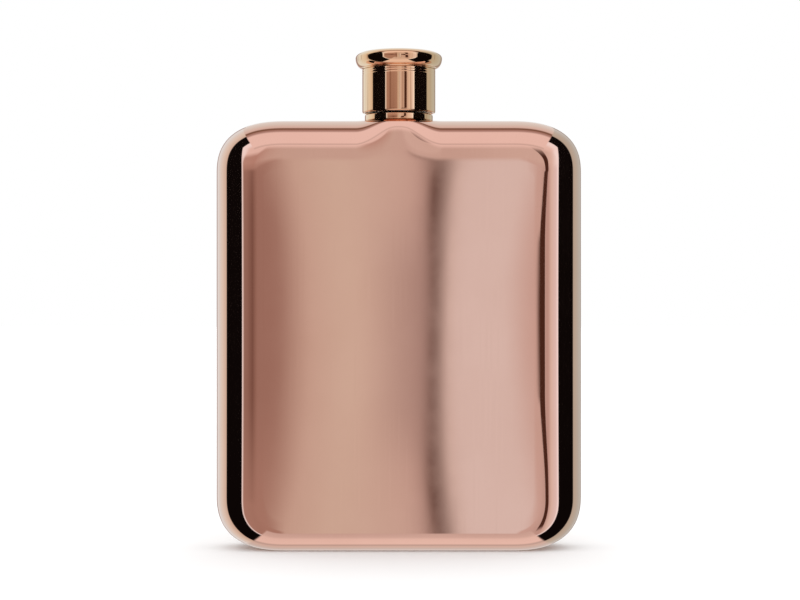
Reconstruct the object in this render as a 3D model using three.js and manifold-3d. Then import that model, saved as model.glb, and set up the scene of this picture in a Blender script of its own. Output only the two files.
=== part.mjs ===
// Pocket hip flask with a screw cap. Millimetres, +Z up, front faces -Y, origin under the middle of the base.
import * as THREE from "three";
import { mergeVertices } from "three/addons/utils/BufferGeometryUtils.js";
import Module from "manifold-3d";

const wasm = await Module();
wasm.setup();

// Driving dimensions
const FIT = 0.3; // gap between pieces that touch on the real object
const BODY = {
  halfWidth: 46,
  height: 107.8,
  halfDepth: 10.6,
  faceCrown: 0.4, // extra depth at the middle of each face
  wall: 0.7,
  cornerX: 18,
  cornerZ: 13.5,
  cornerPower: 2.55,
};
// Width of the rolled edge seen from the front, and its straight part beside the seam
const ROLL = { side: 11, top: 11, base: 5.5 };
const STRAIGHT = { side: 1, base: 6 };
// Swelling of the top edge that carries the neck
const SEAT = { halfWidth: 11, depth: 7.5, flatness: 2.5, power: 1.9 };
const NECK = { bore: 5.6, root: 6.3, crest: 7.3, spigot: 7, flare: 7.6, bottom: 104.1, lip: 116.2 };
const COLLAR = { outer: 8.6, height: 1.3, edge: 0.25 };
const CAP = { outer: 9.25, inner: 8.45, bottom: 109.85, top: 120.9, rim: 0.3 };
const CROWN = { outer: 10.95, bottom: 121.2, top: 125.6, spigot: 8.15, spigotLength: 1.4 };
const INSERT = { outer: 8.15, inner: 7.65, bottom: 110.4, top: 119.1, lid: 0.8 };
const LINER = { outer: 7.2, thickness: 1.4 };
const THREAD = { pitch: 2.5, rootWidth: 1.3, crestWidth: 0.7, firstTurnZ: 111.3, stepsPerTurn: 36, fadeSteps: 6 };
const MALE = { turns: 1.65, from: 0 };
const FEMALE = { turns: 1.4, from: -0.25, crest: 6.65 };

const ROUND = 48; // sides on each turned piece
const CORNER_STEPS = 9;
const ROLL_STEPS = 8;
const FACE_RINGS = 3;

const COPPER_BODY = 0xc98f7a;
const COPPER_CAP = 0xcc9468;
const STEEL = 0xb9bcc0;
const SILICONE = 0xe6e4de;

// Mesh helpers

function solidMesh(name, geometry, color, roughness, metalness) {
  const material = new THREE.MeshStandardMaterial({ color, roughness, metalness });
  const mesh = new THREE.Mesh(geometry, material);
  mesh.name = name;
  return mesh;
}

function toManifold(geometry) {
  const bare = new THREE.BufferGeometry();
  bare.setAttribute("position", geometry.getAttribute("position").clone());
  if (geometry.index) {
    bare.setIndex(geometry.index.clone());
  }
  const merged = mergeVertices(bare, 1e-4);
  const mesh = new wasm.Mesh({
    numProp: 3,
    vertProperties: new Float32Array(merged.getAttribute("position").array),
    triVerts: new Uint32Array(merged.index.array),
  });
  return new wasm.Manifold(mesh);
}

function fromManifold(manifold) {
  const mesh = manifold.getMesh();
  const geometry = new THREE.BufferGeometry();
  geometry.setAttribute("position", new THREE.BufferAttribute(new Float32Array(mesh.vertProperties), 3));
  geometry.setIndex(new THREE.BufferAttribute(new Uint32Array(mesh.triVerts), 1));
  geometry.computeVertexNormals();
  return geometry;
}

// Rings of points, each with the same count, joined in order and closed at both ends by the end rings' middles
// (when the ends are given) or by joining the last ring to the first.
function skinRings(rings, ends) {
  const positions = rings.flat(2);
  const index = [];
  const count = rings[0].length;
  const joins = ends ? rings.length - 1 : rings.length;
  for (let ring = 0; ring < joins; ring += 1) {
    const below = ring * count;
    const above = ((ring + 1) % rings.length) * count;
    for (let i = 0; i < count; i += 1) {
      const j = (i + 1) % count;
      index.push(below + i, below + j, above + j);
      index.push(below + i, above + j, above + i);
    }
  }
  if (ends) {
    const last = (rings.length - 1) * count;
    const firstMiddle = positions.length / 3;
    positions.push(...ends[0], ...ends[1]);
    for (let i = 0; i < count; i += 1) {
      const j = (i + 1) % count;
      index.push(firstMiddle, j, i);
      index.push(firstMiddle + 1, last + i, last + j);
    }
  }
  return outwardGeometry(positions, index);
}

// Turns every triangle over when the closed surface encloses a negative volume.
function outwardGeometry(positions, index) {
  const corner = [new THREE.Vector3(), new THREE.Vector3(), new THREE.Vector3()];
  let volume = 0;
  for (let i = 0; i < index.length; i += 3) {
    corner.forEach((point, k) => point.fromArray(positions, index[i + k] * 3));
    volume += corner[0].dot(corner[1].clone().cross(corner[2]));
  }
  if (volume < 0) {
    index.reverse();
  }
  const geometry = new THREE.BufferGeometry();
  geometry.setAttribute("position", new THREE.Float32BufferAttribute(positions, 3));
  geometry.setIndex(index);
  geometry.computeVertexNormals();
  return geometry;
}

// A profile of [radius, z] turned about the Z axis.
function turned(profile, sides = ROUND) {
  const points = profile.map(([radius, z]) => new THREE.Vector2(radius, z));
  const geometry = new THREE.LatheGeometry(points, sides);
  geometry.rotateX(Math.PI / 2);
  const merged = mergeVertices(geometry.deleteAttribute("uv").deleteAttribute("normal"), 1e-4);
  const index = [];
  const source = merged.index.array;
  for (let i = 0; i < source.length; i += 3) {
    const [a, b, c] = [source[i], source[i + 1], source[i + 2]];
    if (a !== b && b !== c && c !== a) {
      index.push(a, b, c);
    }
  }
  return outwardGeometry(Array.from(merged.getAttribute("position").array), index);
}

// Body shells

// One corner of the outline as a superellipse quarter: t runs 0 to 1 from the flat side to the upright side.
function cornerPoint(t, power) {
  const angle = (t * Math.PI) / 2;
  return [Math.sin(angle) ** (2 / power), Math.cos(angle) ** (2 / power)];
}

// Samples round the outline, each with its place and the straight part of the edge there.
function outlineStations() {
  const stations = [];
  const flatHalf = BODY.halfWidth - BODY.cornerX;
  const seatShares = [1.1, 1, 0.9, 0.78, 0.66, 0.53, 0.36, 0.18];
  const seatPlaces = seatShares.map((share) => share * SEAT.halfWidth);
  [0, 14].forEach((x) => stations.push({ edge: "base", x }));
  for (let k = 0; k <= CORNER_STEPS; k += 1) {
    stations.push({ edge: "baseCorner", side: 1, t: k / CORNER_STEPS });
  }
  for (let k = CORNER_STEPS; k >= 0; k -= 1) {
    stations.push({ edge: "topCorner", side: 1, t: k / CORNER_STEPS });
  }
  stations.push({ edge: "top", x: flatHalf * 0.72 });
  seatPlaces.forEach((x) => stations.push({ edge: "top", x }));
  stations.push({ edge: "top", x: 0 });
  seatPlaces.reverse().forEach((x) => stations.push({ edge: "top", x: -x }));
  stations.push({ edge: "top", x: -flatHalf * 0.72 });
  for (let k = 0; k <= CORNER_STEPS; k += 1) {
    stations.push({ edge: "topCorner", side: -1, t: k / CORNER_STEPS });
  }
  for (let k = CORNER_STEPS; k >= 0; k -= 1) {
    stations.push({ edge: "baseCorner", side: -1, t: k / CORNER_STEPS });
  }
  stations.push({ edge: "base", x: -14 });
  return stations;
}

// Place of a station on the outline drawn in by the given amounts.
function stationPoint(station, drawnIn) {
  const half = BODY.halfWidth - drawnIn.side;
  const low = drawnIn.base;
  const high = BODY.height - drawnIn.top;
  if (station.edge === "base") {
    return [station.x, low];
  }
  if (station.edge === "top") {
    return [station.x, high];
  }
  const isTop = station.edge === "topCorner";
  const cornerX = BODY.cornerX - drawnIn.side;
  const cornerZ = BODY.cornerZ - (isTop ? drawnIn.top : drawnIn.base);
  const [across, up] = cornerPoint(station.t, BODY.cornerPower);
  const x = station.side * (half - cornerX + cornerX * across);
  const z = isTop ? high - cornerZ + cornerZ * up : low + cornerZ - cornerZ * up;
  return [x, z];
}

function straightPart(station) {
  if (station.edge === "base") {
    return STRAIGHT.base;
  }
  if (station.edge === "baseCorner") {
    return THREE.MathUtils.lerp(STRAIGHT.base, STRAIGHT.side, THREE.MathUtils.smoothstep(station.t, 0, 0.9));
  }
  if (station.edge === "top" && Math.abs(station.x) < SEAT.halfWidth) {
    const rise = (1 - Math.abs(station.x / SEAT.halfWidth) ** SEAT.flatness) ** SEAT.power;
    return STRAIGHT.side + (SEAT.depth - STRAIGHT.side) * rise;
  }
  return STRAIGHT.side;
}

function faceDepth(x, z, skin) {
  const across = 1 - (x / BODY.halfWidth) ** 2;
  const up = 1 - ((2 * z) / BODY.height - 1) ** 2;
  return BODY.halfDepth - skin + BODY.faceCrown * across * up;
}

// Rings from the seam to the middle of the face, for the outside (skin 0) or the inside (skin = wall).
function shellRings(stations, skin, direction) {
  const rings = [];
  const edgeIn = { side: skin, top: skin, base: skin };
  const placed = (depthOf, drawnIn, scale = 1) =>
    stations.map((station) => {
      const [x0, z0] = stationPoint(station, drawnIn);
      const middle = BODY.height / 2;
      const x = x0 * scale;
      const z = middle + (z0 - middle) * scale;
      return [x, direction * depthOf(station, x, z), z];
    });
  rings.push(placed(() => FIT / 2, edgeIn));
  for (let k = 0; k <= ROLL_STEPS; k += 1) {
    const angle = (k / ROLL_STEPS) * (Math.PI / 2);
    const share = 1 - Math.cos(angle);
    const drawnIn = {
      side: skin + (ROLL.side - skin) * share,
      top: skin + (ROLL.top - skin) * share,
      base: skin + (ROLL.base - skin) * share,
    };
    const depthOf = (station, x, z) => {
      const straight = straightPart(station);
      return straight + (faceDepth(x, z, skin) - straight) * Math.sin(angle);
    };
    rings.push(placed(depthOf, drawnIn));
  }
  for (let k = 1; k < FACE_RINGS; k += 1) {
    rings.push(placed((station, x, z) => faceDepth(x, z, skin), ROLL, 1 - k / FACE_RINGS));
  }
  return rings;
}

function bodyShell(direction) {
  const stations = outlineStations();
  const outside = shellRings(stations, 0, direction);
  const inside = shellRings(stations, BODY.wall, direction);
  const middle = BODY.height / 2;
  const ends = [
    [0, direction * faceDepth(0, middle, BODY.wall), middle],
    [0, direction * faceDepth(0, middle, 0), middle],
  ];
  const dish = toManifold(skinRings([...inside.reverse(), ...outside], ends));
  const hole = toManifold(
    turned([[0, 100], [NECK.spigot + FIT, 100], [NECK.spigot + FIT, 115], [0, 115]]),
  );
  return fromManifold(dish.subtract(hole));
}

// Screw threads

// A helical ridge from one radius to another. Its ends fade away so that the thread runs out into the tube.
function threadRidge({ from, turns, foot, crest, offset }) {
  const steps = Math.round(turns * THREAD.stepsPerTurn);
  const rings = [];
  for (let step = 0; step <= steps; step += 1) {
    const angle = (from + step / THREAD.stepsPerTurn) * 2 * Math.PI;
    const z = THREAD.firstTurnZ + offset + (THREAD.pitch * angle) / (2 * Math.PI);
    const fade = Math.min(1, (step + 0.6) / THREAD.fadeSteps, (steps - step + 0.6) / THREAD.fadeSteps);
    const tip = foot + (crest - foot) * fade;
    const section = [
      [foot, -THREAD.rootWidth / 2],
      [tip, -THREAD.crestWidth / 2],
      [tip, THREAD.crestWidth / 2],
      [foot, THREAD.rootWidth / 2],
    ];
    rings.push(section.map(([r, dz]) => [r * Math.cos(angle), r * Math.sin(angle), z + dz]));
  }
  const middleOf = (ring) => [0, 1, 2].map((axis) => ring.reduce((sum, p) => sum + p[axis], 0) / ring.length);
  return skinRings(rings, [middleOf(rings[0]), middleOf(rings[rings.length - 1])]);
}

// Neck and cap pieces

function neckSpout() {
  const collarTop = BODY.height + FIT + COLLAR.height;
  const tube = turned([
    [NECK.bore, NECK.bottom],
    [NECK.flare, NECK.bottom],
    [NECK.flare, NECK.bottom + 0.8],
    [NECK.spigot, NECK.bottom + 1.4],
    [NECK.spigot, collarTop - 0.2],
    [NECK.root, collarTop + 0.5],
    [NECK.root, NECK.lip - 0.3],
    [NECK.root - 0.2, NECK.lip],
    [NECK.bore + 0.15, NECK.lip],
    [NECK.bore, NECK.lip - 0.15],
    [NECK.bore, NECK.bottom],
  ]);
  const ridge = threadRidge({ ...MALE, foot: NECK.root - 0.2, crest: NECK.crest, offset: 0 });
  return fromManifold(toManifold(tube).add(toManifold(ridge)));
}

function neckCollar() {
  const low = BODY.height + FIT;
  const high = low + COLLAR.height;
  return turned([
    [NECK.spigot + FIT, low],
    [COLLAR.outer, low],
    [COLLAR.outer, high - COLLAR.edge],
    [COLLAR.outer - COLLAR.edge, high],
    [NECK.spigot + FIT, high],
    [NECK.spigot + FIT, low],
  ]);
}

function capBarrel() {
  return turned([
    [CAP.inner, CAP.bottom + CAP.rim],
    [CAP.inner + CAP.rim, CAP.bottom],
    [CAP.outer - CAP.rim, CAP.bottom],
    [CAP.outer, CAP.bottom + CAP.rim],
    [CAP.outer, CAP.top],
    [CAP.inner, CAP.top],
    [CAP.inner, CAP.bottom + CAP.rim],
  ]);
}

function capCrown() {
  const { outer, bottom, top, spigot } = CROWN;
  const bulgeZ = bottom + 2.4;
  const shoulder = CAP.outer + 0.05;
  const profile = [
    [0, bottom - CROWN.spigotLength],
    [spigot, bottom - CROWN.spigotLength],
    [spigot, bottom],
    [shoulder, bottom],
  ];
  const roundSteps = 7;
  for (let k = 1; k <= roundSteps; k += 1) {
    const angle = (k / roundSteps) * (Math.PI / 2);
    profile.push([shoulder + (outer - shoulder) * Math.sin(angle), bulgeZ - (bulgeZ - bottom) * Math.cos(angle)]);
  }
  for (let k = 1; k <= roundSteps; k += 1) {
    const angle = (k / roundSteps) * (Math.PI / 2);
    const reach = 3.2;
    profile.push([outer - reach + reach * Math.cos(angle), bulgeZ + (top - bulgeZ - 0.25) * Math.sin(angle)]);
  }
  profile.push([4, top - 0.06]);
  profile.push([0, top]);
  return turned(profile);
}

function capInsert() {
  const { outer, inner, bottom, top, lid } = INSERT;
  const cup = turned([
    [inner, bottom],
    [outer, bottom],
    [outer, top],
    [0, top],
    [0, top - lid],
    [inner, top - lid],
    [inner, bottom],
  ]);
  const ridge = threadRidge({
    ...FEMALE,
    foot: inner + 0.2,
    crest: FEMALE.crest,
    offset: THREAD.pitch / 2,
  });
  return fromManifold(toManifold(cup).add(toManifold(ridge)));
}

function capLiner() {
  const high = INSERT.top - INSERT.lid - FIT;
  const low = high - LINER.thickness;
  return turned([[0, low], [LINER.outer, low], [LINER.outer, high], [0, high]]);
}

const flask = new THREE.Group();
flask.name = "hip_flask";
flask.add(solidMesh("front_shell", bodyShell(-1), COPPER_BODY, 0.12, 1));
flask.add(solidMesh("back_shell", bodyShell(1), COPPER_BODY, 0.12, 1));
flask.add(solidMesh("neck_collar", neckCollar(), COPPER_CAP, 0.14, 1));
flask.add(solidMesh("neck_spout", neckSpout(), STEEL, 0.3, 1));
flask.add(solidMesh("cap_barrel", capBarrel(), COPPER_CAP, 0.14, 1));
flask.add(solidMesh("cap_crown", capCrown(), COPPER_CAP, 0.12, 1));
flask.add(solidMesh("cap_insert", capInsert(), STEEL, 0.35, 1));
flask.add(solidMesh("cap_liner", capLiner(), SILICONE, 0.6, 0));

export default flask;
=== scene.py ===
"""Looks for a mirror-polished copper-plated hip flask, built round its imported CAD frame."""

import math

import bpy
import numpy as np
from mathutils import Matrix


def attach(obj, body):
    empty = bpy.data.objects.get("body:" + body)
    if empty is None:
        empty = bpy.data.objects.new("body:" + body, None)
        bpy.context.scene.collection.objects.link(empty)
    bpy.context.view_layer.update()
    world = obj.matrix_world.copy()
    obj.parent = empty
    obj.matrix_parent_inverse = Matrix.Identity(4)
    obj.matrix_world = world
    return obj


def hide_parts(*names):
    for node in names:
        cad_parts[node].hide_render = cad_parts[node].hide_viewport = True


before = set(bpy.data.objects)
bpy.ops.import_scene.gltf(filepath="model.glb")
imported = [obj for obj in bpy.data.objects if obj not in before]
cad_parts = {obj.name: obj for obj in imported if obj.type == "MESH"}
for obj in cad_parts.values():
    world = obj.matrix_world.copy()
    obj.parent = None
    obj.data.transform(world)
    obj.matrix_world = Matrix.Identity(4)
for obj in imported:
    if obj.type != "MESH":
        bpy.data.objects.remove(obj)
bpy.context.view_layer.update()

MM = 0.001

# Body, in millimetres
HALF_WIDTH, BODY_HEIGHT, HALF_DEPTH = 46.0, 107.8, 10.6
FACE_CROWN, WALL, SEAM = 0.4, 0.7, 0.03
CORNER_X, CORNER_Z, CORNER_POWER = 18.0, 13.5, 2.55
FLAT_HALF = HALF_WIDTH - CORNER_X
ROLL_SIDE, ROLL_TOP, ROLL_BASE = 11.0, 11.0, 5.5
STRAIGHT_SIDE, STRAIGHT_BASE = 1.0, 6.0
SEAT_HALF, SEAT_DEPTH, SEAT_FLATNESS, SEAT_POWER = 11.0, 7.5, 2.5, 1.9
HOLE = 7.3

# Neck and cap, in millimetres
BORE, SPIGOT, ROOT, CREST, FLARE = 5.6, 7.0, 6.3, 7.3, 7.6
NECK_LOW, LIP = 104.1, 116.2
COLLAR_R, COLLAR_LOW, COLLAR_HIGH = 8.6, 108.1, 109.4
CAP_R, CAP_INNER, CAP_LOW, CAP_HIGH = 9.25, 8.45, 109.85, 120.9
CROWN_R, CROWN_LOW, CROWN_HIGH = 10.95, 121.2, 125.6
INSERT_R, INSERT_INNER, INSERT_LOW, INSERT_HIGH, INSERT_LID = 8.15, 7.65, 110.4, 119.1, 0.8
LINER_R, LINER_LOW, LINER_HIGH = 7.2, 116.6, 118.0

# Thread: heights and widths in millimetres, lengths along it in turns
PITCH, THREAD_Z, ROOT_WIDTH, CREST_WIDTH = 2.5, 111.3, 1.3, 0.7
THREAD_FADE, NECK_TURNS, CAP_START, CAP_TURNS = 0.17, 1.65, -0.25, 1.4
CAP_CREST = 6.65

# Camera: level, straight in front
CAMERA_PLACE = (0.0003, -0.49, 0.0626)
LENS = 87.05


# Mesh helpers


def mesh_piece(name, rings, closed, body, material, sharp=35.0):
    """A smooth-shaded piece, NAME_skin, over rings of points in millimetres. It replaces CAD node NAME."""
    count, size = rings.shape[:2]
    points = rings.reshape(-1, 3)
    faces = []
    for ring in range(count if closed else count - 1):
        low, high = ring * size, (ring + 1) % count * size
        for i in range(size):
            j = (i + 1) % size
            faces.append((low + i, low + j, high + j, high + i))
    if not closed:
        first, last = len(points), (count - 1) * size
        points = np.vstack([points, rings[0].mean(axis=0), rings[-1].mean(axis=0)])
        for i in range(size):
            j = (i + 1) % size
            faces.append((first, j, i))
            faces.append((first + 1, last + i, last + j))
    mesh = bpy.data.meshes.new(name + "_skin")
    mesh.from_pydata((points * MM).tolist(), [], faces)
    corners = [(face[0], face[k], face[k + 1]) for face in faces for k in range(1, len(face) - 1)]
    volume = sum(points[a].dot(np.cross(points[b], points[c])) for a, b, c in corners)
    if volume < 0:
        mesh.flip_normals()
    mesh.shade_smooth()
    mesh.set_sharp_from_angle(angle=math.radians(sharp))
    mesh.materials.append(material)
    piece = bpy.data.objects.new(name + "_skin", mesh)
    bpy.context.scene.collection.objects.link(piece)
    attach(piece, body)
    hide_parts(name)
    return piece


def smoothstep(low, high, value):
    """0 below low, 1 above high, and a smooth rise between."""
    t = np.clip((value - low) / (high - low), 0.0, 1.0)
    return t * t * (3.0 - 2.0 * t)


def arc(centre, radius_r, radius_z, start, stop, steps):
    """Profile points on an elliptical arc, with angles in degrees from the outward direction."""
    angles = np.radians(np.linspace(start, stop, steps + 1))
    return [(centre[0] + radius_r * math.cos(a), centre[1] + radius_z * math.sin(a)) for a in angles]


# Body shells


def outline_stations():
    """Places round the outline as (kind, side, value), anticlockwise seen from the front."""

    def run(kind, side, start, stop, steps, ends=False):
        values = np.linspace(start, stop, steps + 2)
        return [(kind, side, value) for value in (values if ends else values[1:-1])]

    hole = [("top", 0, HOLE * math.sin(b)) for b in np.linspace(math.pi / 2, -math.pi / 2, 45)]
    stations = [("base", 0, 0.0)]
    stations += run("base", 0, 0.0, FLAT_HALF, 10)
    stations += run("base_corner", 1, 0.0, 1.0, 42, ends=True)
    stations += run("side", 1, 0.0, 1.0, 40)
    stations += run("top_corner", 1, 1.0, 0.0, 42, ends=True)
    stations += run("top", 0, FLAT_HALF, SEAT_HALF + 0.1, 14)
    stations += run("top", 0, SEAT_HALF + 0.1, HOLE, 16)
    stations += hole
    stations += run("top", 0, -HOLE, -SEAT_HALF - 0.1, 16)
    stations += run("top", 0, -SEAT_HALF - 0.1, -FLAT_HALF, 14)
    stations += run("top_corner", -1, 0.0, 1.0, 42, ends=True)
    stations += run("side", -1, 1.0, 0.0, 40)
    stations += run("base_corner", -1, 1.0, 0.0, 42, ends=True)
    stations += run("base", 0, -FLAT_HALF, 0.0, 10)
    return stations


def place(station, side_in, top_in, base_in):
    """x and z of a station on the outline drawn in by the given amounts."""
    kind, side, value = station
    half = HALF_WIDTH - side_in
    if kind == "base":
        return value, base_in
    if kind == "top":
        return value, BODY_HEIGHT - top_in
    if kind == "side":
        return side * half, CORNER_Z + value * (BODY_HEIGHT - 2 * CORNER_Z)
    across = math.sin(value * math.pi / 2) ** (2 / CORNER_POWER)
    up = max(math.cos(value * math.pi / 2), 0.0) ** (2 / CORNER_POWER)
    x = side * (FLAT_HALF + (half - FLAT_HALF) * across)
    if kind == "top_corner":
        return x, BODY_HEIGHT - CORNER_Z + (CORNER_Z - top_in) * up
    return x, CORNER_Z - (CORNER_Z - base_in) * up


def straight_part(station):
    """Depth of the flat part of the edge beside the seam."""
    kind, _, value = station
    if kind == "base":
        return STRAIGHT_BASE
    if kind == "base_corner":
        return STRAIGHT_BASE + (STRAIGHT_SIDE - STRAIGHT_BASE) * float(smoothstep(0.0, 0.9, value))
    if kind == "top" and abs(value) < SEAT_HALF:
        rise = (1 - abs(value / SEAT_HALF) ** SEAT_FLATNESS) ** SEAT_POWER
        return STRAIGHT_SIDE + (SEAT_DEPTH - STRAIGHT_SIDE) * rise
    return STRAIGHT_SIDE


def face_depth(x, z, inward):
    """Half depth of the body, slightly crowned, with the faint waves that pressing leaves in the sheet."""
    up = 2 * z / BODY_HEIGHT - 1
    crown = FACE_CROWN * (1 - (x / HALF_WIDTH) ** 2) * (1 - up**2)
    wave = 0.006 * np.sin(0.13 * x + 0.9 * np.sin(0.05 * z)) + 0.005 * np.sin(0.09 * z + 0.06 * x + 1.0)
    return HALF_DEPTH - inward + crown + wave


def shell_rings(stations, inward, start, roll_steps, face_steps, straight_steps):
    """Rings of (x, depth, z) from the seam round the rolled edge to near the middle of the face."""
    straight = np.array([straight_part(s) for s in stations])
    rings = []

    def outline(share):
        drawn = [inward + (roll - inward) * share for roll in (ROLL_SIDE, ROLL_TOP, ROLL_BASE)]
        return np.array([place(s, *drawn) for s in stations])

    edge = outline(0.0)
    for k in range(straight_steps):
        depth = start + (straight - start) * k / straight_steps
        rings.append(np.column_stack([edge[:, 0], depth, edge[:, 1]]))
    for angle in np.linspace(0.0, math.pi / 2, roll_steps + 1):
        at = outline(1 - math.cos(angle))
        depth = straight + (face_depth(at[:, 0], at[:, 1], inward) - straight) * math.sin(angle)
        rings.append(np.column_stack([at[:, 0], depth, at[:, 1]]))
    middle = BODY_HEIGHT / 2
    last = outline(1.0)
    for scale in np.linspace(1.0, 0.0, face_steps + 1)[1:-1]:
        x = last[:, 0] * scale
        z = middle + (last[:, 1] - middle) * scale
        rings.append(np.column_stack([x, face_depth(x, z, inward), z]))
    return rings


def body_shell(name, direction, material):
    """One pressed half of the body, with the half hole for the neck in its top edge."""
    stations = outline_stations()
    start = np.full(len(stations), SEAM)
    for i, (kind, _, value) in enumerate(stations):
        if kind == "top" and abs(value) < HOLE:
            start[i] = max(SEAM, math.sqrt(HOLE**2 - value**2))
    outside = shell_rings(stations, 0.0, start, 40, 22, 6)
    inside = shell_rings(stations, WALL, start, 14, 8, 2)
    rings = np.array(inside[::-1] + outside)
    rings[:, :, 1] *= direction
    return mesh_piece(name, rings, False, "flask", material)


# Turned pieces and threads


def thread_height(angle, z, from_turn, turns, shift):
    """0 to 1: how far the screw ridge stands out at an angle and height."""
    turn = (z - THREAD_Z - shift) / PITCH - angle / (2 * math.pi)
    nearest = np.round(turn)
    distance = np.abs(turn - nearest) * PITCH
    along = nearest + angle / (2 * math.pi)
    ridge = 1 - smoothstep(CREST_WIDTH / 2, ROOT_WIDTH / 2, distance)
    fade = smoothstep(from_turn, from_turn + THREAD_FADE, along)
    fade = fade * (1 - smoothstep(from_turn + turns - THREAD_FADE, from_turn + turns, along))
    return ridge * fade


def turned(name, profile, closed, body, material, sides=160, thread=None):
    """A profile of (radius, z) turned about the neck's axis. thread is (zone, reach, from, turns, shift)."""
    angles = np.arange(sides) / sides * 2 * math.pi
    rings = []
    for radius, z in profile:
        r = np.full(sides, float(radius))
        if thread and thread[0](radius, z):
            r = r + thread[1] * thread_height(angles, z, *thread[2:])
        rings.append(np.column_stack([r * np.cos(angles), r * np.sin(angles), np.full(sides, float(z))]))
    return mesh_piece(name, np.array(rings), closed, body, material)


def lines(*corners, steps=1):
    """Profile points along straight lines through the corners."""
    points = []
    for start, stop in zip(corners, corners[1:]):
        for share in np.arange(steps) / steps:
            points.append((start[0] + (stop[0] - start[0]) * share, start[1] + (stop[1] - start[1]) * share))
    points.append(corners[-1])
    return points


def neck_spout(material):
    """The pouring tube: flared foot, shoulder under the collar, rolled thread, rounded lip."""
    shoulder = COLLAR_HIGH + 0.5
    profile = [(BORE, NECK_LOW + 0.2), (BORE + 0.2, NECK_LOW)]
    profile += [(FLARE - 0.2, NECK_LOW), (FLARE, NECK_LOW + 0.2), (FLARE, NECK_LOW + 0.7)]
    profile += lines((SPIGOT, NECK_LOW + 1.4), (SPIGOT, COLLAR_HIGH - 0.2))
    profile += lines((ROOT, shoulder), (ROOT, LIP - 0.36), steps=110)
    profile += arc((ROOT - 0.35, LIP - 0.35), 0.35, 0.35, 10, 90, 8)
    profile += arc((BORE + 0.2, LIP - 0.2), 0.2, 0.2, 90, 180, 6)
    zone = lambda radius, z: radius == ROOT and shoulder - 0.01 < z < LIP - 0.35
    thread = (zone, CREST - ROOT, 0.0, NECK_TURNS, 0.0)
    return turned("neck_spout", profile, True, "flask", material, thread=thread)


def neck_collar(material):
    """The ring between the body and the cap, with softened edges."""
    inner = SPIGOT + 0.05
    profile = [(inner, COLLAR_LOW - 0.28), (COLLAR_R + 0.02, COLLAR_LOW - 0.28)]
    profile += arc((COLLAR_R - 0.12, COLLAR_LOW - 0.08), 0.12, 0.12, -60, 0, 5)
    profile += arc((COLLAR_R - 0.3, COLLAR_HIGH - 0.3), 0.3, 0.3, 0, 90, 8)
    profile += [(inner, COLLAR_HIGH)]
    return turned("neck_collar", profile, True, "flask", material)


def cap_barrel(material):
    """The straight tube of the cap, its bottom rim rolled round and two fine lines turned near its top."""
    rim = (CAP_R - CAP_INNER) / 2
    profile = arc(((CAP_R + CAP_INNER) / 2, CAP_LOW + rim), rim, rim, -180, 0, 16)
    profile += lines((CAP_R, CAP_LOW + rim + 0.2), (CAP_R, CAP_HIGH - 1.5), steps=6)
    for below in (1.25, 0.65):
        line = CAP_HIGH - below
        profile += [(CAP_R, line - 0.1), (CAP_R - 0.07, line), (CAP_R, line + 0.1)]
    profile += [(CAP_R, CAP_HIGH - 0.2), (CAP_R - 0.12, CAP_HIGH), (CAP_INNER, CAP_HIGH)]
    return turned("cap_barrel", profile, True, "cap", material)


def cap_crown(material):
    """The wider rounded top, drawn in to a fine groove above the barrel."""
    bulge = CROWN_LOW + 2.5
    shoulder = 3.2
    dome_start, dome = CROWN_R - shoulder, 0.25
    profile = [(INSERT_R, CROWN_LOW - 1.4), (INSERT_R, CROWN_LOW - 0.25), (CAP_R - 0.1, CROWN_LOW - 0.25)]
    profile += arc((CAP_R - 0.1, CROWN_LOW - 0.1), 0.15, 0.15, -90, 0, 5)
    profile += arc((CAP_R - 0.05, bulge), CROWN_R - CAP_R + 0.05, bulge - CROWN_LOW, -84, 0, 16)
    profile += arc((dome_start, bulge), shoulder, CROWN_HIGH - dome - bulge, 4, 90, 22)
    for share in (0.75, 0.5, 0.25, 0.1):
        profile.append((dome_start * share, CROWN_HIGH - dome * share**2))
    return turned("cap_crown", profile, False, "cap", material)


def cap_insert(material):
    """The sleeve inside the cap with the matching thread and a closed top."""
    lid = INSERT_HIGH - INSERT_LID
    profile = [(0.05, lid), (3.0, lid), (6.0, lid), (INSERT_INNER, lid)]
    profile += lines((INSERT_INNER, lid - 0.1), (INSERT_INNER, INSERT_LOW + 0.15), steps=120)
    chamfer = 0.12
    profile += [(INSERT_INNER + chamfer, INSERT_LOW), (INSERT_R - chamfer, INSERT_LOW)]
    profile += [(INSERT_R, INSERT_LOW + chamfer)]
    profile += lines((INSERT_R, INSERT_HIGH - 0.15), (INSERT_R - 0.15, INSERT_HIGH), (0.05, INSERT_HIGH))
    zone = lambda radius, z: radius == INSERT_INNER and z < lid - 0.05
    thread = (zone, CAP_CREST - INSERT_INNER, CAP_START, CAP_TURNS, PITCH / 2)
    return turned("cap_insert", profile, False, "cap", material, thread=thread)


def cap_liner(material):
    """The soft sealing disc with a shallow ring pressed in by the lip."""
    profile = [(0.05, LINER_LOW), (BORE - 0.6, LINER_LOW)]
    profile += [(BORE + 0.3, LINER_LOW + 0.08), (ROOT - 0.2, LINER_LOW + 0.08), (ROOT + 0.4, LINER_LOW)]
    profile += arc((LINER_R - 0.2, LINER_LOW + 0.2), 0.2, 0.2, -90, 0, 5)
    profile += arc((LINER_R - 0.2, LINER_HIGH - 0.2), 0.2, 0.2, 0, 90, 5)
    profile += [(0.05, LINER_HIGH)]
    return turned("cap_liner", profile, False, "liner", material, sides=96)


# Node helpers


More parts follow.
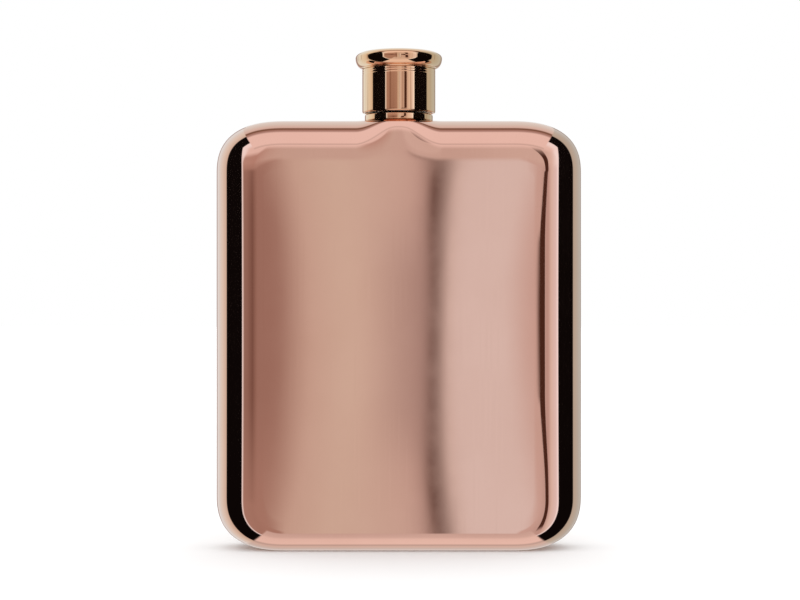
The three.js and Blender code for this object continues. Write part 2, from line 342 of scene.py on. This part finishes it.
class Tree:
    """Short names for adding and linking shader nodes."""

    def __init__(self, tree):
        self.tree = tree
        tree.nodes.clear()

    def add(self, kind, inputs=None, **settings):
        node = self.tree.nodes.new(kind)
        for key, value in settings.items():
            setattr(node, key, value)
        for key, value in (inputs or {}).items():
            self.put(node.inputs[key], value)
        return node

    def put(self, socket, value):
        if isinstance(value, bpy.types.NodeSocket):
            self.tree.links.new(value, socket)
        else:
            socket.default_value = value

    def math(self, operation, *values):
        return self.add("ShaderNodeMath", dict(enumerate(values)), operation=operation).outputs[0]

    def times(self, first, second):
        return self.math("MULTIPLY", first, second)

    def minus(self, first, second):
        return self.math("SUBTRACT", first, second)

    def away(self, value, centre):
        """How far value is from centre, either way."""
        return self.math("ABSOLUTE", self.minus(value, centre))

    def span(self, value, low, high, to_low=0.0, to_high=1.0):
        inputs = {"Value": value, "From Min": low, "From Max": high, "To Min": to_low, "To Max": to_high}
        node = self.add("ShaderNodeMapRange", inputs, interpolation_type="SMOOTHSTEP")
        return node.outputs["Result"]

    def mix(self, factor, first, second):
        node = self.add("ShaderNodeMix", {0: factor, 6: first, 7: second}, data_type="RGBA")
        return node.outputs[2]

    def ramp(self, value, low, high, stops):
        """A colour along value, with stops as (value, (red, green, blue))."""
        share = self.math("DIVIDE", self.minus(value, low), high - low)
        node = self.add("ShaderNodeValToRGB", {0: share})
        elements = node.color_ramp.elements
        for index, (at, color) in enumerate(stops):
            position = (at - low) / (high - low)
            if index < 2:
                elements[index].position = position
            element = elements[index] if index < 2 else elements.new(position)
            element.color = (*color, 1.0)
        return node.outputs["Color"]

    def finish(self, kind, shader):
        """Send a shader to the output."""
        out = self.add(kind)
        self.put(out.inputs["Surface"], shader.outputs[0])


def new_material(name):
    material = bpy.data.materials.new(name)
    material.use_nodes = True
    return material, Tree(material.node_tree)


def polished_metal(name, light, dark, streak, roughness):
    """Mirror-polished plating: faint cloudy tint, haze from handling, and upright streaks of another tint."""
    material, tree = new_material(name)
    surface = tree.add("ShaderNodeTexCoord")
    coords = surface.outputs["Object"]
    clouds = tree.add("ShaderNodeTexNoise", {"Vector": coords, "Scale": 45.0, "Detail": 3.0})
    tint = tree.mix(tree.span(clouds.outputs["Fac"], 0.35, 0.65), (*dark, 1.0), (*light, 1.0))
    smears = {"Vector": coords, "Scale": 120.0, "Detail": 5.0, "Roughness": 0.6}
    haze = tree.add("ShaderNodeTexNoise", smears)
    stretch = tree.add("ShaderNodeMapping", {"Vector": coords, "Scale": (1300.0, 1300.0, 12.0)})
    marks = tree.add("ShaderNodeTexNoise", {"Vector": stretch.outputs[0], "Scale": 1.0, "Detail": 2.0})
    facing_up = tree.add("ShaderNodeSeparateXYZ", {0: surface.outputs["Normal"]}).outputs[2]
    upright = tree.span(tree.math("ABSOLUTE", facing_up), 0.45, 0.15)
    streaks = tree.times(tree.span(marks.outputs["Fac"], 0.44, 0.36), upright)
    tint = tree.mix(streaks, tint, (*streak, 1.0))
    rough = tree.span(haze.outputs["Fac"], 0.3, 0.75, roughness, roughness * 1.7)
    shader = tree.add("ShaderNodeBsdfPrincipled", {"Base Color": tint, "Metallic": 1.0, "Roughness": rough})
    tree.finish("ShaderNodeOutputMaterial", shader)
    return material


def turned_steel(name):
    """Bare stainless steel with fine rings from the lathe."""
    material, tree = new_material(name)
    coords = tree.add("ShaderNodeTexCoord").outputs["Object"]
    rings = tree.add(
        "ShaderNodeTexWave",
        {"Vector": coords, "Scale": 1500.0, "Distortion": 1.5, "Detail": 2.0},
        bands_direction="Z",
    )
    clouds = tree.add("ShaderNodeTexNoise", {"Vector": coords, "Scale": 300.0, "Detail": 4.0})
    tint = tree.mix(clouds.outputs["Fac"], (0.5, 0.49, 0.47, 1.0), (0.66, 0.65, 0.63, 1.0))
    rough = tree.span(clouds.outputs["Fac"], 0.3, 0.7, 0.2, 0.36)
    bump = tree.add("ShaderNodeBump", {"Height": rings.outputs["Fac"], "Strength": 0.2, "Distance": 0.00003})
    shader = tree.add(
        "ShaderNodeBsdfPrincipled",
        {"Base Color": tint, "Metallic": 1.0, "Roughness": rough, "Normal": bump.outputs[0]},
    )
    tree.finish("ShaderNodeOutputMaterial", shader)
    return material


def silicone(name):
    """Milky soft sealing rubber."""
    material, tree = new_material(name)
    coords = tree.add("ShaderNodeTexCoord").outputs["Object"]
    grain = tree.add("ShaderNodeTexNoise", {"Vector": coords, "Scale": 900.0, "Detail": 3.0})
    tint = tree.mix(grain.outputs["Fac"], (0.72, 0.71, 0.67, 1.0), (0.82, 0.81, 0.77, 1.0))
    bump = tree.add("ShaderNodeBump", {"Height": grain.outputs["Fac"], "Strength": 0.3, "Distance": 0.00005})
    shader = tree.add(
        "ShaderNodeBsdfPrincipled",
        {"Base Color": tint, "Roughness": 0.5, "Normal": bump.outputs[0], "Subsurface Weight": 0.2},
    )
    shader.inputs["Subsurface Radius"].default_value = (0.001, 0.001, 0.001)
    tree.finish("ShaderNodeOutputMaterial", shader)
    return material


# Studio: the light that the polished metal reflects. A stop is (degrees, (red, green, blue)).


CARD = (0.004, 0.003, 0.003)
DEEP = (0.07, 0.03, 0.02)
UMBER = (0.21, 0.12, 0.1)
BROWN = (0.36, 0.24, 0.21)
PALE_BROWN = (0.44, 0.3, 0.26)
SHADE = (0.4, 0.33, 0.32)
ROSE = (0.63, 0.55, 0.52)
PINK = (0.75, 0.75, 0.77)
BLUSH = (0.89, 0.79, 0.78)
GLARE = (1.0, 1.1, 1.2)
DIM_GREEN = (0.35, 0.4, 0.34)
FLOOR_LIGHT = 1.3

WINDOW_STOPS = [
    (-42.0, ROSE),
    (-37.0, (0.32, 0.22, 0.19)),
    (-30.0, (0.31, 0.2, 0.17)),
    (-17.5, UMBER),
    (-11.0, (0.3, 0.19, 0.16)),
    (-6.0, BROWN),
    (-4.8, BROWN),
    (-3.6, (0.62, 0.54, 0.49)),
    (-2.1, (0.68, 0.64, 0.58)),
    (0.3, ROSE),
    (0.75, (0.55, 0.46, 0.44)),
    (1.1, (0.12, 0.07, 0.06)),
    (1.4, (0.14, 0.09, 0.08)),
    (1.85, (0.68, 0.65, 0.64)),
    (2.4, PINK),
    (4.4, PINK),
    (5.3, (0.64, 0.54, 0.52)),
    (18.0, (0.56, 0.46, 0.44)),
    (24.0, (0.56, 0.44, 0.42)),
    (32.0, (0.76, 0.7, 0.67)),
    (44.0, (0.82, 0.8, 0.86)),
    (48.0, GLARE),
]
UPPER_STOPS = [
    (-40.0, (0.52, 0.38, 0.34)),
    (-16.0, (0.5, 0.34, 0.3)),
    (-10.0, (0.56, 0.43, 0.39)),
    (-3.0, (0.62, 0.54, 0.5)),
    (1.5, (0.62, 0.53, 0.5)),
    (4.0, (0.68, 0.6, 0.57)),
    (20.0, (0.66, 0.57, 0.54)),
    (32.0, (0.78, 0.7, 0.67)),
    (48.0, GLARE),
]
TOP_STOPS = [
    (46.0, (0.66, 0.58, 0.57)),
    (49.0, (0.7, 0.62, 0.6)),
    (52.0, BLUSH),
    (84.0, BLUSH),
    (89.5, (0.46, 0.35, 0.33)),
    (94.0, (0.4, 0.27, 0.24)),
    (97.5, (0.2, 0.12, 0.08)),
    (101.0, (0.24, 0.15, 0.11)),
    (105.5, (0.74, 0.68, 0.66)),
    (126.0, (0.76, 0.85, 0.85)),
    (180.0, (0.9, 0.95, 0.95)),
]
BASE_STOPS = [
    (20.0, (0.62, 0.54, 0.52)),
    (40.0, (0.7, 0.62, 0.6)),
    (50.0, (0.84, 0.75, 0.73)),
    (76.0, (0.88, 0.79, 0.77)),
    (86.0, (0.56, 0.52, 0.5)),
    (97.0, (0.72, 0.68, 0.66)),
    (122.0, (0.66, 0.72, 0.74)),
    (180.0, (0.9, 0.95, 0.95)),
]
BACKDROP_STOPS = [
    (85.0, (0.64, 0.58, 0.5)),
    (108.0, (0.8, 0.86, 0.82)),
    (132.0, (0.8, 0.98, 1.05)),
    (146.0, (0.84, 0.98, 1.02)),
    (154.0, SHADE),
    (162.0, BROWN),
    (168.0, ROSE),
    (180.0, (0.7, 0.66, 0.64)),
]


def studio_chart(tree, direction):
    """A direction's place in degrees on a chart whose centre is straight ahead of the front face.

    cone is the angle from straight ahead, across and above are its sideways and upward parts, and turn is the
    direction round the chart, 90 at the top and -90 at the bottom.
    """
    x, y, z = tree.add("ShaderNodeSeparateXYZ", {0: direction}).outputs
    degrees = 180.0 / math.pi
    cone = tree.times(tree.math("ARCCOSINE", tree.times(y, -1.0)), degrees)
    off_axis = tree.math("SQRT", tree.minus(1.0, tree.times(y, y)))
    stretch = tree.math("DIVIDE", cone, tree.math("MAXIMUM", off_axis, 0.001))
    turn = tree.times(tree.math("ARCTAN2", z, tree.math("ABSOLUTE", x)), degrees)
    return x, cone, tree.times(x, stretch), tree.times(z, stretch), turn


def window_light(tree, across, above):
    """The bright window straight ahead: upright bands, brown on the left and pink on the right."""
    window = tree.ramp(across, -50.0, 50.0, WINDOW_STOPS)
    # The brown side is paler above and below eye level
    off_level = tree.span(tree.math("ABSOLUTE", above), 2.5, 8.0, 0.0, 0.85)
    paler = tree.times(tree.span(across, -3.4, -5.2), off_level)
    window = tree.mix(paler, window, (*PALE_BROWN, 1.0))
    # A soft shade runs up to the dark streak at eye level only
    shade = tree.times(tree.span(across, -1.8, 0.7), tree.span(across, 1.5, 1.0))
    near_level = tree.span(tree.away(above, -1.2), 6.0, 2.0, 0.0, 0.6)
    window = tree.mix(tree.times(shade, near_level), window, (*SHADE, 1.0))
    # The pattern is softer above
    softer = tree.ramp(across, -50.0, 50.0, UPPER_STOPS)
    window = tree.mix(tree.span(above, 4.0, 18.0), window, softer)
    window = tree.mix(bowed_line(tree, across, above), window, (*DEEP, 1.0))
    # It brightens upwards, lowest down at the left
    lift_start = tree.span(across, -10.0, -16.0, 35.0, 25.0)
    lift = tree.span(tree.minus(above, lift_start), 0.0, 11.0, 0.0, 0.85)
    return tree.mix(lift, window, (*BLUSH, 1.0))


def bowed_line(tree, across, above):
    """0 to 1: a dark upright line on the right of the window that bows towards the middle at eye level."""
    level = tree.away(above, -0.5)
    bow = tree.span(level, 2.5, 5.8, 11.6, 21.0)
    bow = tree.minus(bow, tree.span(above, 18.0, 52.0, 0.0, 8.0))
    half_width = tree.span(level, 2.5, 6.0, 5.4, 3.7)
    line = tree.span(tree.minus(tree.away(across, bow), half_width), 0.5, -0.5)
    line = tree.times(line, tree.span(above, 50.0, 26.0))
    return tree.times(line, tree.span(above, -30.0, -20.0))


def card_light(tree, window, cone, across, above):
    """The window with black cards round it, and a bright rim just inside them."""
    side_edge = tree.minus(tree.away(across, 3.5), 46.3)
    reach = tree.math("ADD", tree.span(above, -10.0, 10.0, 48.5, 69.0), tree.times(across, 0.07))
    edge = tree.math("MAXIMUM", side_edge, tree.minus(cone, reach))
    rim = tree.math("DIVIDE", edge, tree.span(above, 15.0, 45.0, 4.0, 14.0))
    window = tree.mix(tree.span(rim, -1.2, -0.4, 0.0, 0.8), window, (*GLARE, 1.0))
    return tree.mix(tree.span(edge, -0.8, 0.8), window, (*CARD, 1.0))


def backdrop_light(tree, inner, x, cone, across, above):
    """The cards with the pale backdrop beyond them, dimmer towards the right."""
    far_edge = tree.span(above, -60.0, -20.0, 88.0, 94.5)
    far_edge = tree.math("ADD", far_edge, tree.times(across, 0.045))
    outside = tree.span(tree.minus(cone, far_edge), -1.5, 1.5)
    backdrop = tree.ramp(cone, 85.0, 180.0, BACKDROP_STOPS)
    backdrop = tree.mix(tree.span(x, -0.3, 0.7, 0.0, 0.6), backdrop, (*DIM_GREEN, 1.0))
    return tree.mix(outside, inner, backdrop)


def studio_light(tree, direction):
    """The whole studio: window, cards and backdrop, with one lit panel above them all and one below."""
    x, cone, across, above, turn = studio_chart(tree, direction)
    window = window_light(tree, across, above)
    inner = card_light(tree, window, cone, across, above)
    light = backdrop_light(tree, inner, x, cone, across, above)
    over = tree.times(tree.span(turn, 61.6, 62.8), tree.span(cone, 46.0, 47.5))
    light = tree.mix(over, light, tree.ramp(cone, 46.0, 180.0, TOP_STOPS))
    under = tree.times(tree.span(turn, -60.0, -63.5), tree.span(cone, 20.0, 25.0))
    return tree.mix(under, light, tree.ramp(cone, 20.0, 180.0, BASE_STOPS))


def build_world():
    """White to the camera, even and brighter on the floor, and the studio in reflections."""
    world = bpy.data.worlds.new("studio")
    bpy.context.scene.world = world
    world.use_nodes = True
    tree = Tree(world.node_tree)
    direction = tree.add("ShaderNodeTexCoord").outputs["Generated"]
    path = tree.add("ShaderNodeLightPath")
    seen = studio_light(tree, direction)
    on_floor = (FLOOR_LIGHT, FLOOR_LIGHT, FLOOR_LIGHT, 1.0)
    plain = tree.mix(path.outputs["Is Diffuse Ray"], (1.0, 1.0, 1.0, 1.0), on_floor)
    color = tree.mix(path.outputs["Is Glossy Ray"], plain, seen)
    background = tree.add("ShaderNodeBackground", {"Color": color})
    tree.finish("ShaderNodeOutputWorld", background)


def build_floor():
    """A plain pale floor. It doesn't show in the polished metal, which reflects only the studio."""
    mesh = bpy.data.meshes.new("floor")
    reach = 4.0
    corners = [(-reach, -reach, 0), (reach, -reach, 0), (reach, reach, 0), (-reach, reach, 0)]
    mesh.from_pydata(corners, [], [(0, 1, 2, 3)])
    floor = bpy.data.objects.new("floor", mesh)
    bpy.context.scene.collection.objects.link(floor)
    material, tree = new_material("floor")
    coords = tree.add("ShaderNodeTexCoord").outputs["Object"]
    grain = tree.add("ShaderNodeTexNoise", {"Vector": coords, "Scale": 8.0})
    tint = tree.mix(grain.outputs["Fac"], (0.93, 0.93, 0.93, 1.0), (0.95, 0.95, 0.95, 1.0))
    shader = tree.add("ShaderNodeBsdfDiffuse", {"Color": tint})
    tree.finish("ShaderNodeOutputMaterial", shader)
    mesh.materials.append(material)
    floor.visible_glossy = False


def build_camera():
    data = bpy.data.cameras.new("camera")
    data.lens = LENS
    data.sensor_width = 36.0
    data.clip_start = 0.01
    camera = bpy.data.objects.new("camera", data)
    camera.location = CAMERA_PLACE
    camera.rotation_euler = (math.pi / 2, 0.0, 0.0)
    bpy.context.scene.collection.objects.link(camera)
    bpy.context.scene.camera = camera


build_camera()
build_world()
build_floor()
bpy.context.scene.view_settings.view_transform = "Standard"

rose = polished_metal("rose_copper", (0.9, 0.6, 0.5), (0.88, 0.58, 0.48), (0.89, 0.59, 0.49), 0.028)
golden = polished_metal("golden_copper", (0.94, 0.61, 0.4), (0.91, 0.58, 0.37), (0.66, 0.39, 0.24), 0.035)
steel = turned_steel("turned_steel")
seal = silicone("silicone")

body_shell("front_shell", -1, rose)
body_shell("back_shell", 1, rose)
neck_collar(golden)
neck_spout(steel)
cap_barrel(golden)
cap_crown(golden)
cap_insert(steel)
cap_liner(seal)
